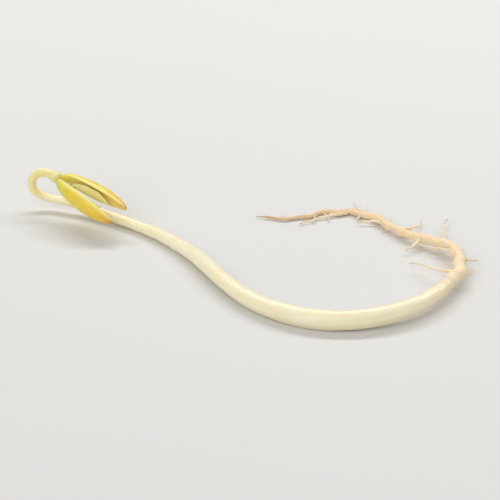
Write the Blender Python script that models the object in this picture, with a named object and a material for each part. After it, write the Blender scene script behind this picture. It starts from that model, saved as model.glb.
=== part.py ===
"""One bean sprout lying on a flat surface, in metres with +Z up.

A white stem runs from a thin hooked neck to a thick belly and down to a collar. Two yellow seed
leaves sit on the neck's end, a little open, with the pale first leaves between them. Past the
collar a thin tan taproot curls back, with small side rootlets. The surface is the plane z = 0,
and the origin lies on it under the middle of the sprout's bounding box.
"""

import math

import bmesh
import bpy
import numpy as np
from mathutils import Vector

MM = 0.001
GAP = 0.3

# Where the sprout's drawing origin goes, so that its box is centred over (0, 0); mm
CENTRE = (-33.14, 28.44)

# The hook: an arc of the neck that stands up and leans back from the surface, and comes forward
# over its pitch, so that the head passes in front of the neck; mm and degrees
HOOK_CENTRE = (2.45, -8.9, 4.0)
HOOK_RADIUS = 1.8
HOOK_LEAN = 20.0
HOOK_PITCH = 1.6
HOOK_START = 68.0
HOOK_END = 238.0
HOOK_POINTS = 6
HOOK_RADII = (0.70, 0.62)

# The node at the end of the neck, where the seed leaves sit: x, y, z and radius; mm
NODE = (4.77, -11.02, 5.82, 0.85)

# The rest of the centreline, from the hook along the stem: x, y, z and radius; mm
STEM = (
    (6.0, -10.6, 1.75, 0.68),
    (11.4, -13.2, 1.15, 0.78),
    (17.0, -17.0, 0.90, 0.90),
    (22.4, -22.6, 1.00, 1.05),
    (26.8, -30.0, 1.50, 1.22),
    (31.2, -37.8, 1.42, 1.36),
    (38.0, -44.2, 1.38, 1.44),
    (46.8, -46.8, 1.55, 1.43),
    (55.2, -44.2, 2.00, 1.32),
)

# The collar, where the white stem ends and the tan root starts: x, y, z and radius; mm
COLLAR = (61.2, -37.6, 2.25, 1.05)

# The taproot from the collar to its tip: x, y, z and radius; mm
TAPROOT = (
    (63.6, -30.6, 2.05, 0.84),
    (61.8, -24.0, 1.60, 0.71),
    (56.2, -19.8, 1.12, 0.61),
    (52.0, -14.2, 0.70, 0.54),
    (45.8, -11.2, 0.42, 0.46),
    (39.8, -13.2, 0.36, 0.38),
    (34.0, -12.6, 0.32, 0.27),
)

# How far a tube runs, or turns, from one ring to the next, and its bevel resolution; mm and degrees
STEM_STEP = 1.7
ROOT_STEP = 1.2
TURN_STEP = 14.0
STEM_RESOLUTION = 4
ROOT_RESOLUTION = 2

# Side rootlets, in two loose rows along the taproot; mm and degrees
ROOTLETS = 9
ROOTLET_FIRST = 4.5
ROOTLET_LAST = 34.0
ROOTLET_LENGTH = (3.0, 9.0)
ROOTLET_RADIUS = (0.34, 0.20)
ROOTLET_ANGLE = (40.0, 85.0)
ROOTLET_BEND = (-25.0, 60.0)
ROOTLET_WAVE = 22.0
ROOTLET_POINTS = 8
ROOTLET_SEED = 7

# The head: the way the pair of seed leaves points, the way one lies from the other, and each
# leaf's measures, with the two powers of its outlines in width and depth; mm and degrees
HEAD_AXIS = (0.74, -0.65, -0.16)
HEAD_STACK = (0.664, 0.648, 0.373)
LEAF_LENGTH = 12.2
LEAF_HALF_WIDTH = 1.85
LEAF_DEPTH = 1.40
LEAF_WIDTH_ENDS = (0.48, 0.58)
LEAF_DEPTH_ENDS = (0.50, 0.50)
LEAF_HOLLOW = 0.30
LEAF_OFFSET = 0.55
LEAF_OPENING = 7.0
LEAF_BEND = 0.6
LEAF_SEGMENTS = 20
LEAF_RINGS = 16

# The first leaves: a short stalk and two pointed blades, nearly shut; mm and degrees
STALK_RADIUS = 0.28
STALK_LENGTH = 3.2
BLADE_START = 2.4
BLADE_LENGTH = 7.2
BLADE_HALF_WIDTH = 1.05
BLADE_HALF_DEPTH = 0.32
BLADE_OPENING = 4.0
BLADE_ARCH = 0.25


def unit(vector):
    """The vector at length 1."""
    vector = np.asarray(vector, float)
    return vector / np.linalg.norm(vector)


def clear_scene():
    """Remove every object that the scene starts with."""
    for thing in list(bpy.data.objects):
        bpy.data.objects.remove(thing, do_unlink=True)


def collection(name):
    """A new collection in the scene."""
    group = bpy.data.collections.new(name)
    bpy.context.scene.collection.children.link(group)
    return group


def material(name, colour, roughness):
    """A plain Principled material."""
    made = bpy.data.materials.new(name)
    made.use_nodes = True
    shader = made.node_tree.nodes["Principled BSDF"]
    shader.inputs["Base Color"].default_value = (*colour, 1.0)
    shader.inputs["Roughness"].default_value = roughness
    shader.inputs["Metallic"].default_value = 0.0
    return made


def spline(rows, step):
    """Rows about one step apart on the natural cubic spline through the given rows."""
    rows = np.array(rows, float)
    spans = np.linalg.norm(np.diff(rows[:, :3], axis=0), axis=1)
    knots = np.concatenate(([0.0], np.cumsum(spans)))
    count = len(rows)
    matrix = np.eye(count)
    right = np.zeros_like(rows)
    for i in range(1, count - 1):
        matrix[i, i - 1:i + 2] = spans[i - 1], 2 * (spans[i - 1] + spans[i]), spans[i]
        right[i] = 6 * ((rows[i + 1] - rows[i]) / spans[i] - (rows[i] - rows[i - 1]) / spans[i - 1])
    bend = np.linalg.solve(matrix, right)
    places = np.linspace(0.0, knots[-1], round(knots[-1] / step) + 1)
    i = np.clip(np.searchsorted(knots, places) - 1, 0, count - 2)
    span = spans[i][:, None]
    low = (knots[i + 1] - places)[:, None] / span
    high = 1 - low
    curve = (low ** 3 - low) * bend[i] + (high ** 3 - high) * bend[i + 1]
    return low * rows[i] + high * rows[i + 1] + curve * span ** 2 / 6


def hook_rows():
    """The arc of the hook, from beside the node round and down to the neck.

    place = centre + radius * (cos a * right + sin a * leaning up) + pitch left * forward
    """
    lean = math.radians(HOOK_LEAN)
    side = np.array((1.0, 0.0, 0.0))
    up = np.array((0.0, math.sin(lean), math.cos(lean)))
    angles = np.radians(np.linspace(HOOK_START, HOOK_END, HOOK_POINTS))[:, None]
    forward = np.linspace(HOOK_PITCH, 0.0, HOOK_POINTS)[:, None] * np.cross(side, up)
    places = HOOK_CENTRE + HOOK_RADIUS * (np.cos(angles) * side + np.sin(angles) * up) + forward
    return [(*place, radius) for place, radius in zip(places, np.linspace(*HOOK_RADII, HOOK_POINTS))]


def centreline():
    """The whole centreline, split at the collar: rows of the stem and rows of the taproot."""
    rows = [NODE] + hook_rows() + list(STEM) + [COLLAR] + list(TAPROOT)
    fine = spline(rows, 0.1)
    collar = np.argmin(np.linalg.norm(fine[:, :3] - COLLAR[:3], axis=1))
    fine[:, :2] += CENTRE
    return fine[:collar + 1], fine[collar:]


def thinned(rows, step):
    """Fewer rows: about one step apart where the line is straight, and closer where it turns."""
    spans = np.diff(rows[:, :3], axis=0)
    lengths = np.linalg.norm(spans, axis=1)
    ways = spans / lengths[:, None]
    turns = np.degrees(np.arccos(np.clip((ways[1:] * ways[:-1]).sum(axis=1), -1, 1)))
    travel = np.cumsum(lengths / step + np.concatenate(([0.0], turns)) / TURN_STEP)
    marks = np.linspace(0.0, travel[-1], round(travel[-1]) + 1)
    return rows[np.searchsorted(np.concatenate(([0.0], travel)), marks - 1e-9)]


def add_object(name, mesh, group):
    """A new object for a mesh, in a collection."""
    thing = bpy.data.objects.new(name, mesh)
    group.objects.link(thing)
    return thing


def tube(name, rows, resolution, group):
    """A closed tube along rows of x, y, z and radius in mm, as a welded mesh."""
    curve = bpy.data.curves.new(name, "CURVE")
    curve.dimensions = "3D"
    curve.bevel_depth = MM
    curve.bevel_resolution = resolution
    curve.use_fill_caps = True
    line = curve.splines.new("POLY")
    line.points.add(len(rows) - 1)
    for point, row in zip(line.points, rows):
        point.co = (row[0] * MM, row[1] * MM, row[2] * MM, 1.0)
        point.radius = row[3]
    guide = add_object(name, curve, group)
    graph = bpy.context.evaluated_depsgraph_get()
    mesh = bpy.data.meshes.new_from_object(guide.evaluated_get(graph))
    bpy.data.objects.remove(guide, do_unlink=True)
    build = bmesh.new()
    build.from_mesh(mesh)
    bmesh.ops.remove_doubles(build, verts=build.verts, dist=0.001 * MM)
    bmesh.ops.recalc_face_normals(build, faces=build.faces)
    build.to_mesh(mesh)
    build.free()
    return add_object(name, mesh, group)


def finish(thing, surface):
    """Give an object its material and smooth shading."""
    thing.data.materials.clear()
    thing.data.materials.append(surface)
    thing.data.shade_smooth()
    thing.data.set_sharp_from_angle(angle=math.radians(50.0))


def cut_flat(thing, cutter):
    """Cut off what would reach below the surface, which leaves small flats to rest on."""
    modifier = thing.modifiers.new("rest", "BOOLEAN")
    modifier.operation = "DIFFERENCE"
    modifier.object = cutter


def fuse(thing, pieces):
    """Join the objects of a collection to one object with one union, and remove them."""
    modifier = thing.modifiers.new("fuse", "BOOLEAN")
    modifier.operation = "UNION"
    modifier.operand_type = "COLLECTION"
    modifier.collection = pieces
    graph = bpy.context.evaluated_depsgraph_get()
    joined = bpy.data.meshes.new_from_object(thing.evaluated_get(graph))
    thing.modifiers.clear()
    thing.data = joined
    for piece in list(pieces.objects):
        bpy.data.objects.remove(piece, do_unlink=True)
    bpy.data.collections.remove(pieces)


def floor_cutter(group):
    """A slab under the surface, wider than the sprout."""
    mesh = bpy.data.meshes.new("floor_cutter")
    build = bmesh.new()
    bmesh.ops.create_cube(build, size=1.0)
    bmesh.ops.scale(build, verts=build.verts, vec=Vector((0.2, 0.2, 0.02)))
    bmesh.ops.translate(build, verts=build.verts, vec=Vector((0.0, 0.0, -0.01)))
    build.to_mesh(mesh)
    build.free()
    slab = add_object("floor_cutter", mesh, group)
    slab.hide_render = True
    slab.display_type = "WIRE"
    return slab


def make_stem(rows, group, cutter, surface):
    """The white stem from the seed leaves' node to the collar."""
    stem = tube("stem", thinned(rows, STEM_STEP), STEM_RESOLUTION, group)
    cut_flat(stem, cutter)
    finish(stem, surface)
    return stem


def rootlet_rows(draw, rows, place, side):
    """One rootlet: it leaves the taproot's centreline to one side and bends on along it."""
    steps = np.linalg.norm(np.diff(rows[:, :3], axis=0), axis=1)
    at = int(np.searchsorted(np.cumsum(steps), place))
    start = rows[at, :3]
    along = unit(rows[at + 1, :3] - start)
    length = draw.uniform(*ROOTLET_LENGTH)
    leave = math.radians(draw.uniform(*ROOTLET_ANGLE))
    bend = math.radians(draw.uniform(*ROOTLET_BEND))
    phase = draw.uniform(0.0, 2 * math.pi)
    turn = math.atan2(along[1], along[0])
    stride = length / (ROOTLET_POINTS - 1)
    spot = np.array(start)
    made = []
    for i in range(ROOTLET_POINTS):
        part = i / (ROOTLET_POINTS - 1)
        radius = ROOTLET_RADIUS[0] + part * (ROOTLET_RADIUS[1] - ROOTLET_RADIUS[0])
        made.append((*spot, radius))
        wave = math.radians(ROOTLET_WAVE) * math.sin(phase + 5 * part)
        heading = turn + side * (leave - part * bend) + wave
        lowest = ROOTLET_RADIUS[0] + 0.02
        fall = (max(lowest, start[2] * (1 - 0.6 * part)) - spot[2]) * 0.5
        spot = spot + np.array((math.cos(heading) * stride, math.sin(heading) * stride, fall))
    return made


def make_taproot(rows, group, cutter, surface):
    """The taproot and its rootlets, fused to one body."""
    steps = np.linalg.norm(np.diff(rows[:, :3], axis=0), axis=1)
    start = int(np.searchsorted(np.cumsum(steps), GAP)) + 1
    root = tube("taproot", thinned(rows[start:], ROOT_STEP), ROOT_RESOLUTION, group)
    draw = np.random.default_rng(ROOTLET_SEED)
    pieces = collection("rootlets")
    for i in range(ROOTLETS):
        place = ROOTLET_FIRST + (ROOTLET_LAST - ROOTLET_FIRST) * (i + draw.uniform(-0.2, 0.2)) / (ROOTLETS - 1)
        side = -1 if i % 2 else 1
        tube(f"rootlet_{i}", rootlet_rows(draw, rows, max(place, ROOTLET_FIRST), side), 1, pieces)
    fuse(root, pieces)
    cut_flat(root, cutter)
    finish(root, surface)
    return root


def outline(part, rise, fall):
    """A pointed outline from 0 at both ends to 1 between: part ** rise * (1 - part) ** fall."""
    peak = rise / (rise + fall)
    return part ** rise * (1 - part) ** fall / (peak ** rise * (1 - peak) ** fall)


def sphere_shape(name, segments, rings, place):
    """A UV sphere whose points move to place(part of the way from pole to pole, angle)."""
    mesh = bpy.data.meshes.new(name)
    build = bmesh.new()
    bmesh.ops.create_uvsphere(build, u_segments=segments, v_segments=rings, radius=1.0)
    for vertex in build.verts:
        part = min(1.0, max(0.0, (1 - vertex.co.z) / 2))
        angle = math.atan2(vertex.co.y, vertex.co.x)
        vertex.co = Vector(place(part, angle))
    if build.calc_volume(signed=True) < 0:
        bmesh.ops.reverse_faces(build, faces=build.faces)
    bmesh.ops.scale(build, verts=build.verts, vec=Vector((MM, MM, MM)))
    build.to_mesh(mesh)
    build.free()
    return mesh


def head_frame():
    """The head's axis, its stacking direction and the direction across the seed leaves."""
    axis = unit(HEAD_AXIS)
    stack = np.array(HEAD_STACK)
    stack = unit(stack - axis * np.dot(stack, axis))
    return axis, stack, np.cross(stack, axis)


def make_seed_leaf(name, side, node, group, surface):
    """One seed leaf: pointed, domed outside, hollow inside, opened to its side of the axis."""
    axis, stack, across = head_frame()
    opening = math.radians(LEAF_OPENING)
    along = axis * math.cos(opening) + side * stack * math.sin(opening)
    out = side * stack * math.cos(opening) - axis * math.sin(opening)
    base = node + axis * GAP + side * stack * LEAF_OFFSET

    def place(part, angle):
        width = LEAF_HALF_WIDTH * outline(part, *LEAF_WIDTH_ENDS)
        if math.sin(angle) > 0:
            height = LEAF_DEPTH * outline(part, *LEAF_DEPTH_ENDS) * math.sin(angle)
        else:
            height = LEAF_HOLLOW * outline(part, 1.0, 1.0) * math.sin(angle) ** 2
        height -= LEAF_BEND * part ** 2
        return base + along * LEAF_LENGTH * part + across * width * math.cos(angle) + out * height

    leaf = add_object(name, sphere_shape(name, LEAF_SEGMENTS, LEAF_RINGS, place), group)
    finish(leaf, surface)
    return leaf


def make_blade(name, side, node, group):
    """One first leaf: a thin pointed blade, thickest along its middle."""
    axis, stack, across = head_frame()
    opening = math.radians(BLADE_OPENING)
    along = axis * math.cos(opening) + side * stack * math.sin(opening)
    out = side * stack * math.cos(opening) - axis * math.sin(opening)
    base = node + axis * BLADE_START

    def place(part, angle):
        width = BLADE_HALF_WIDTH * outline(part, 0.8, 0.8)
        height = BLADE_HALF_DEPTH * (1 + math.sin(angle)) * outline(part, 0.5, 0.5)
        height += BLADE_ARCH * outline(part, 1.0, 1.0) * math.cos(angle) ** 2
        return base + along * BLADE_LENGTH * part + across * width * math.cos(angle) + out * height

    return add_object(name, sphere_shape(name, 12, 10, place), group)


def make_first_leaves(node, group, surface):
    """The first leaves on their stalk, between the seed leaves."""
    axis = head_frame()[0]
    reach = np.linspace(2 * GAP, STALK_LENGTH, 5)
    rows = [(*(node + axis * place), STALK_RADIUS) for place in reach]
    leaves = tube("first_leaves", rows, 2, group)
    pieces = collection("blades")
    for side in (1, -1):
        make_blade(f"blade_{side}", side, node, pieces)
    fuse(leaves, pieces)
    finish(leaves, surface)
    return leaves


def main():
    """Build the sprout."""
    clear_scene()
    parts = collection("bean_sprout")
    cutters = collection("cutters")
    cutter = floor_cutter(cutters)
    stem_rows, root_rows = centreline()
    node = stem_rows[0, :3]
    make_stem(stem_rows, parts, cutter, material("white_stem", (0.88, 0.80, 0.55), 0.35))
    make_taproot(root_rows, parts, cutter, material("tan_root", (0.78, 0.56, 0.36), 0.55))
    yellow = material("yellow_seed_leaf", (0.72, 0.49, 0.07), 0.45)
    make_seed_leaf("seed_leaf_upper", 1, node, parts, yellow)
    make_seed_leaf("seed_leaf_lower", -1, node, parts, yellow)
    make_first_leaves(node, parts, material("pale_first_leaf", (0.86, 0.80, 0.45), 0.45))


main()
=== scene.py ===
"""Looks of one bean sprout that lies on a pale surface: stem, root, seed leaves and first leaves.

Every piece is a surface worked out from the same values as its solid: a centreline with radii for
the stem and the root, and pointed outlines along the head's axis for the leaves. Lengths here are
millimetres, angles are degrees, and rates are radians along a surface, unless a line says
otherwise. Meshes are written in metres.
"""

import math

import bpy
import numpy as np
from mathutils import Matrix


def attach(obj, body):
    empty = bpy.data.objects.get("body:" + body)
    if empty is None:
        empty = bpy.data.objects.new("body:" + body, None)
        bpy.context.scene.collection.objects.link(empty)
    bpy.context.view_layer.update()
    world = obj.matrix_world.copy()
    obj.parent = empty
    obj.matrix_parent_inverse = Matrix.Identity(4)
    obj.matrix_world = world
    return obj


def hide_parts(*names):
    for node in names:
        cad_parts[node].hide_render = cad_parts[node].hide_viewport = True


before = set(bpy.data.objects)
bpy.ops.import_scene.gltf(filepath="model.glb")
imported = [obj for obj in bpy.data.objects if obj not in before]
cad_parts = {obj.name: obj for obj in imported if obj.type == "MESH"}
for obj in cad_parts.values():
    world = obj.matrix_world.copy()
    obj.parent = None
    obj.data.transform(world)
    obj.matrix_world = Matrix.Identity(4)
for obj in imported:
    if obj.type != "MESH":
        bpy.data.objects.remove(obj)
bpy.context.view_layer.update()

MM = 0.001
UP = np.array((0.0, 0.0, 1.0))
FULL_TURN = 2 * math.pi

# Where the sprout's drawing origin lies, and how far apart the rows of a line stand
CENTRE = (-33.14, 28.44)
STEP = 0.1

# The neck's hook: an arc that stands up and leans back, and comes forward over its pitch
HOOK_CENTRE = (2.45, -8.9, 4.0)
HOOK_RADIUS = 1.8
HOOK_LEAN = 20.0
HOOK_PITCH = 1.6
HOOK_START = 68.0
HOOK_END = 238.0
HOOK_POINTS = 6
HOOK_RADII = (0.70, 0.62)

# The centreline from the seed leaves' node to the root's tip: x, y, z and radius
NODE = (4.77, -11.02, 5.82, 0.85)
STEM = (
    (6.0, -10.6, 1.75, 0.68),
    (11.4, -13.2, 1.15, 0.78),
    (17.0, -17.0, 0.90, 0.90),
    (22.4, -22.6, 1.00, 1.05),
    (26.8, -30.0, 1.50, 1.22),
    (31.2, -37.8, 1.42, 1.36),
    (38.0, -44.2, 1.38, 1.44),
    (46.8, -46.8, 1.55, 1.43),
    (55.2, -44.2, 2.00, 1.32),
)
COLLAR = (61.2, -37.6, 2.25, 1.05)
TAPROOT = (
    (63.6, -30.6, 2.05, 0.84),
    (61.8, -24.0, 1.60, 0.71),
    (56.2, -19.8, 1.12, 0.61),
    (52.0, -14.2, 0.70, 0.54),
    (45.8, -11.2, 0.42, 0.46),
    (39.8, -13.2, 0.36, 0.38),
    (34.0, -12.6, 0.32, 0.27),
)

# How far stem and root run into each other, how thin each ends in the other against its line, and
# how far the stem runs past the node
OVERLAP = 2.4
TUCK = 0.82
NODE_CAP = 0.4

# Slow bends of a line: how many waves, then how wide they are, the shortest and the longest of
# them, and the stretch at the start over which they grow
BEND_WAVES = 4
STEM_BENDS = (0.16, (9.0, 30.0), 16.0)
ROOT_BENDS = (0.24, (3.0, 11.0), 6.0)
ROOTLET_BENDS = (0.10, (1.2, 4.0), 1.0)

# Waves over a tube: how many, lowest and highest rate along it, most turns round it, and height,
# which is in millimetres on the stem and a share of the radius on the root
STEM_RIPPLES = (12, (0.4, 2.4), 3, 0.016)
STEM_GRAIN = (16, (2.0, 9.0), 9, 0.004)
HOOK_WRINKLES = (10, (7.0, 15.0), 2, 0.018)
COLLAR_WRINKLES = (16, (3.0, 13.0), 4, 0.020)
ROOT_KNOBS = (10, (0.8, 4.0), 2, 0.035)
ROOT_GRAIN = (16, (4.0, 13.0), 5, 0.022)
ROOTLET_KNOBS = (6, (2.0, 8.0), 2, 0.09)

# Seeds of the stem's bends, of its surface and of the whole root
STEM_BENDS_SEED = 4
STEM_SEED = 11
ROOT_SEED = 23

# The stem: rings and points round each, rounded ends, and its even radius in patterns
STEM_GRID = (1200, 72)
STEM_ENDS = (0.8, 0.3)
STEM_EVEN = 1.3
# Where its rings turn from square to the hook to upright, and where the neck becomes the grown stem
STEM_UPRIGHT = (10.0, 22.0)
STEM_GROWN = (6.0, 26.0)
# Shares of its radius: swellings by height, rate and start, and corners by height, number and twist
STEM_SWELLINGS = ((0.025, 0.21, 0.6), (0.015, 0.57, 2.0))
STEM_CORNERS = ((0.040, 2, 0.03), (0.030, 4, 0.02))
# The share of its ripples that the neck has
NECK_RIPPLES = 0.4
# Its dents: how far they keep from its ends, width, depth, and length and breadth against the width
STEM_DENTS = 22
DENT_ENDS = (8.0, 6.0)
DENT_WIDTH = (0.6, 2.4)
DENT_DEPTH = (0.02, 0.07)
DENT_SHAPE = (1.7, 0.6)
# Where the wrinkles inside the hook rise and fall, and how long the wrinkled collar is
HOOK_SPAN = ((1.5, 3.0), (8.0, 12.0))
COLLAR_LENGTH = 12.0
# The knuckle below the seed leaves and the waist below it: share of the radius, place and length
KNUCKLE = (0.07, 1.0, 0.5)
WAIST = (0.06, 2.1, 0.7)

# The taproot: rings and points round each, rounded ends, even radius in patterns, and its pale top
ROOT_GRID = (800, 36)
ROOT_ENDS = (0.3, 0.2)
ROOT_EVEN = 0.7
ROOT_PALE = (2.0, 9.0)
# How much thinner than its line it gets by the tip, how long its point is, and how thick it ends
ROOT_TAPER = 0.45
ROOT_POINT_LENGTH = 2.6
ROOT_POINT = 0.4
# The swelling where a rootlet leaves: share of the rootlet's radius, and its length
SHOULDER = 0.3
SHOULDER_LENGTH = 0.55

# Side rootlets, the same ones as the solid's, and finer ones between them: where the first one
# stands, how many there are, and how far one strays, as a share of the space between two
ROOTLET_FIRST = 4.5
ROOTLETS = 9
ROOTLET_STRAY = 0.2
ROOTLET_SEED = 7
FINE_ROOTLETS = 18
FINE_STRAY = 0.5
# How a rootlet leaves the root, bends along it, waves to and fro, and falls to the surface
ROOTLET_ANGLE = (40.0, 85.0)
ROOTLET_BEND = (-25.0, 60.0)
ROOTLET_WAVE = 22.0
ROOTLET_WAVE_RATE = 5
ROOTLET_LIFT = 0.02
ROOTLET_SINK = 0.6
ROOTLET_FALL = 0.5
ROOTLET_POINTS = 8
# Its flare at the root as a share and a length, and the most that its radius has of the root's
ROOTLET_FLARE = (0.45, 0.5)
ROOTLET_LIMIT = (0.8, 0.3)
ROOTLET_ENDS = (0.8, 0.15)
# The two kinds: the farthest place for one, lengths, the line's radii and what share of them the
# skin has, both from base to tip, rings and points round each, and hairs
ROOTLET = {
    "last": 34.0,
    "length": (3.0, 9.0),
    "radii": (0.34, 0.20),
    "taper": (0.95, 0.42),
    "grid": (110, 14),
    "hairs": 22,
}
FINE_ROOTLET = {
    "last": 43.0,
    "length": (1.0, 3.6),
    "radii": (0.15, 0.08),
    "taper": (1.0, 0.6),
    "grid": (40, 8),
    "hairs": 0,
}

# Root hairs: how many stand on the taproot, and between which parts of its length and a rootlet's
TAPROOT_HAIRS = 260
TAPROOT_HAIRY = (0.16, 0.93)
ROOTLET_HAIRY = (0.2, 0.9)
# Length, radius from base to tip, where in the skin it starts, and the steepest way down it may go
HAIR_LENGTH = (0.3, 1.5)
HAIR_RADIUS = (0.017, 0.006)
HAIR_BASE = 0.9
HAIR_DOWN = -0.3
# How far it leans from upright on the skin, how it bends, and how high it stays above the surface
HAIR_LEAN = 0.45
HAIR_SWAY = (0.2, 0.7)
HAIR_LIFT = 0.04
HAIR_GRID = (6, 4)

# The even radius that thin threads have in patterns
THREAD_EVEN = 0.3

# The head: its directions, its gap to the node and its seed leaves. The two ends of a leaf's
# measure are the rise and fall of its outline
HEAD_AXIS = (0.74, -0.65, -0.16)
HEAD_STACK = (0.664, 0.648, 0.373)
GAP = 0.3
LEAF_LENGTH = 12.2
LEAF_HALF_WIDTH = 1.85
LEAF_DEPTH = 1.40
LEAF_WIDTH_ENDS = (0.48, 0.58)
LEAF_DEPTH_ENDS = (0.50, 0.50)
LEAF_HOLLOW = 0.30
LEAF_HOLLOW_ENDS = (1, 1)
LEAF_OFFSET = 0.55
LEAF_OPENING = 7.0
LEAF_BEND = 0.6
LEAF_GRID = (260, 144)
# A seed leaf's stalk: radius, how far it reaches back, where it fades into the blade, how much of
# the whole its round end takes, and how far it drops towards the head's middle
LEAF_STALK = 0.44
LEAF_BACK = 1.1
LEAF_STALK_FADE = (0.4, 3.2)
LEAF_STALK_ROUND = 0.025
LEAF_STALK_DROP = 0.36
LEAF_STALK_DROP_END = 0.9
# The power that joins blade and stalk softly, and the lip round the inner face
JOIN = 2.5
LEAF_LIP = 0.30
# How lip, relief, warp and skew fade towards base and tip, and relief towards the rim, and what
# share of its relief the inner face has
LEAF_FADE_ENDS = (0.5, 0.5)
LEAF_FADE_RIM = 0.3
INNER_RELIEF = 0.6
# Waves over it: scale along and across it, how many, lowest and highest rate along it, most turns
# across it, and height
LEAF_FOLDS = ((9, 6), (6, (-0.8, 0.8), 2, 0.045))
LEAF_WRINKLES = ((12, 9), (10, (-3.0, 3.0), 3, 0.022))
LEAF_GRAIN = ((40, 9), (10, (-3.0, 3.0), 5, 0.007))
# The crease along its back and the bank on both sides of it, by depth or height and width, and
# the two waves by height and rate that the crease follows
CREASE = (0.15, 0.09)
BANK = (0.06, 0.30)
CREASE_SWAY = (0.07, 4)
CREASE_KINK = (0.03, 13)
# Its dents: where along and across it, how deep, and how long and wide
LEAF_DENTS = 9
LEAF_DENT_ALONG = (0.1, 0.92)
LEAF_DENT_ACROSS = (-0.75, 0.75)
LEAF_DENT_DEPTH = (0.03, 0.09)
LEAF_DENT_SIZE = (0.09, 0.13)
# Its warped margins by height and rate, how far its outline leans to one side, and its rim's
# ripples by height, rate and how many times the leaf's seed each starts at
LEAF_WARP = (0.07, 6)
LEAF_SKEW = 0.22
RIM_RIPPLES = ((0.020, 11, 1), (0.011, 31, 2), (0.006, 57, 0))
# Where the painted rim highlight and the inner face's painted light begin in its colours, from the
# margin and from the base
HIGHLIGHT_RIM_WIDTH = 0.5
HIGHLIGHT_RIM_START = (0.02, 0.15)
LIGHT_INSIDE_EDGE = 0.25
LIGHT_INSIDE_START = (0.02, 0.12)

# The first leaves between the seed leaves: their common stalk
STALK_RADIUS = 0.28
STALK_LENGTH = 3.2
STALK_ENDS = (0.2, 0.2)
STALK_GRID = (70, 24)
# Their blades: where they start, the side and size of each, and width, thickness, arch and fold
BLADE_START = 2.4
BLADE_LENGTH = 7.2
BLADE_SIZES = ((1, 1.0), (-1, 0.93))
BLADE_OPENING = 4.0
BLADE_GRID = (200, 96)
BLADE_HALF_WIDTH = 1.05
BLADE_WIDTH_ENDS = (0.7, 0.8)
BLADE_RIPPLE = (0.03, 17)
BLADE_THICKNESS = 0.20
BLADE_THICK_ENDS = (0.4, 0.4)
BLADE_ROUND = 0.8
BLADE_ARCH = 0.28
BLADE_ARCH_ENDS = (0.5, 0.5)
BLADE_FOLD = 0.36
BLADE_FOLD_POWER = 1.3
BLADE_FOLD_ENDS = (0.8, 0.8)
# Their veins: rate along, lean towards the tip, sharpness, and where they rise and fall across
VEIN_RATE = 44
VEIN_LEAN = 8
VEIN_SHARP = 3
VEIN_SPAN = ((0.08, 0.3), (0.75, 1.0))
VEIN_HEIGHT = 0.030
# Their midribs, the share of relief underneath and how it fades towards base and tip, and how
# they curl, along the whole blade and at its margins, by height and rate
RIB_HEIGHT = 0.075
RIB_WIDTH = 0.09
UNDER_RELIEF = -0.5
BLADE_FADE_ENDS = (0.6, 0.6)
BLADE_CURL = (0.05, 8)
MARGIN_CURL = (0.05, 19)

# Colours of the stem: along it from the node to the collar, then what lies over that
STEM_COLOURS = (
    (0.0, (0.76, 0.70, 0.16)),
    (0.025, (0.90, 0.80, 0.32)),
    (0.10, (0.95, 0.84, 0.49)),
    (0.17, (0.97, 0.86, 0.56)),
    (0.30, (0.98, 0.87, 0.62)),
    (0.80, (0.98, 0.87, 0.63)),
    (0.92, (0.97, 0.84, 0.59)),
    (0.975, (0.93, 0.79, 0.56)),
    (1.0, (0.92, 0.76, 0.53)),
)
STRAND = (0.87, 0.75, 0.44)
WHITE_CLOUD = (1.0, 0.94, 0.84)
CREAM_STRETCH = (0.95, 0.83, 0.53)
WHITE_STRETCH = (1.0, 0.91, 0.75)
STEM_SPECK = (0.58, 0.40, 0.18)
HOOK_FOLD = (0.74, 0.60, 0.20)
COLLAR_PATCH = (0.80, 0.59, 0.35)
FINE_STRAND = (0.80, 0.72, 0.42)

# Colours of the root and of its rootlets, from base to tip, and of the root hairs
ROOT_COLOURS = (
    (0.0, (0.95, 0.78, 0.53)),
    (0.15, (0.95, 0.77, 0.51)),
    (0.6, (0.93, 0.71, 0.45)),
    (0.9, (0.78, 0.56, 0.34)),
    (1.0, (0.50, 0.31, 0.16)),
)
ROOTLET_COLOURS = (
    (0.0, (0.92, 0.76, 0.54)),
    (0.7, (0.94, 0.79, 0.59)),
    (0.92, (0.80, 0.60, 0.40)),
    (1.0, (0.56, 0.38, 0.22)),
)
ROOT_PATCH = (0.77, 0.52, 0.28)
ROOT_FIBRE = (0.98, 0.86, 0.64)
ROOT_TOP = (0.94, 0.81, 0.59)
HAIR_COLOURS = ((0.0, (0.92, 0.84, 0.68)), (1.0, (0.86, 0.78, 0.64)))

# Colours of the seed leaves, from base to tip, then what lies over that
SEED_LEAF_COLOURS = (
    (0.0, (0.70, 0.70, 0.10)),
    (0.10, (0.76, 0.70, 0.05)),
    (0.34, (0.87, 0.67, 0.035)),
    (0.78, (0.87, 0.61, 0.035)),
    (0.93, (0.76, 0.44, 0.04)),
    (1.0, (0.46, 0.20, 0.04)),
)
LEAF_STREAK = (0.94, 0.79, 0.15)
AMBER_CLOUD = (0.72, 0.45, 0.03)
LEAF_SPECK = (0.46, 0.22, 0.03)
# Painted highlight along the rim of the seed leaves
LEAF_RIM_HIGHLIGHT = (0.97, 0.88, 0.40)
# Painted light that lifts the hollow inner face out of its shade
LEAF_INSIDE_LIGHT = (0.96, 0.84, 0.28)

# Colours of the first leaves, from base to tip, then what lies over that
FIRST_LEAF_COLOURS = (
    (0.0, (0.93, 0.86, 0.48)),
    (0.5, (0.93, 0.86, 0.38)),
    (1.0, (0.88, 0.76, 0.24)),
)
PALE_CLOUD = (0.92, 0.87, 0.62)
PALE_VEIN = (0.95, 0.92, 0.70)
PALE_MARGIN = (0.92, 0.86, 0.52)

# The surface that it lies on: half its width in metres, and its two colours
FLOOR_HALF = 2.0
FLOOR_COLOURS = ((0.738, 0.735, 0.729), (0.758, 0.755, 0.749))

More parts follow.
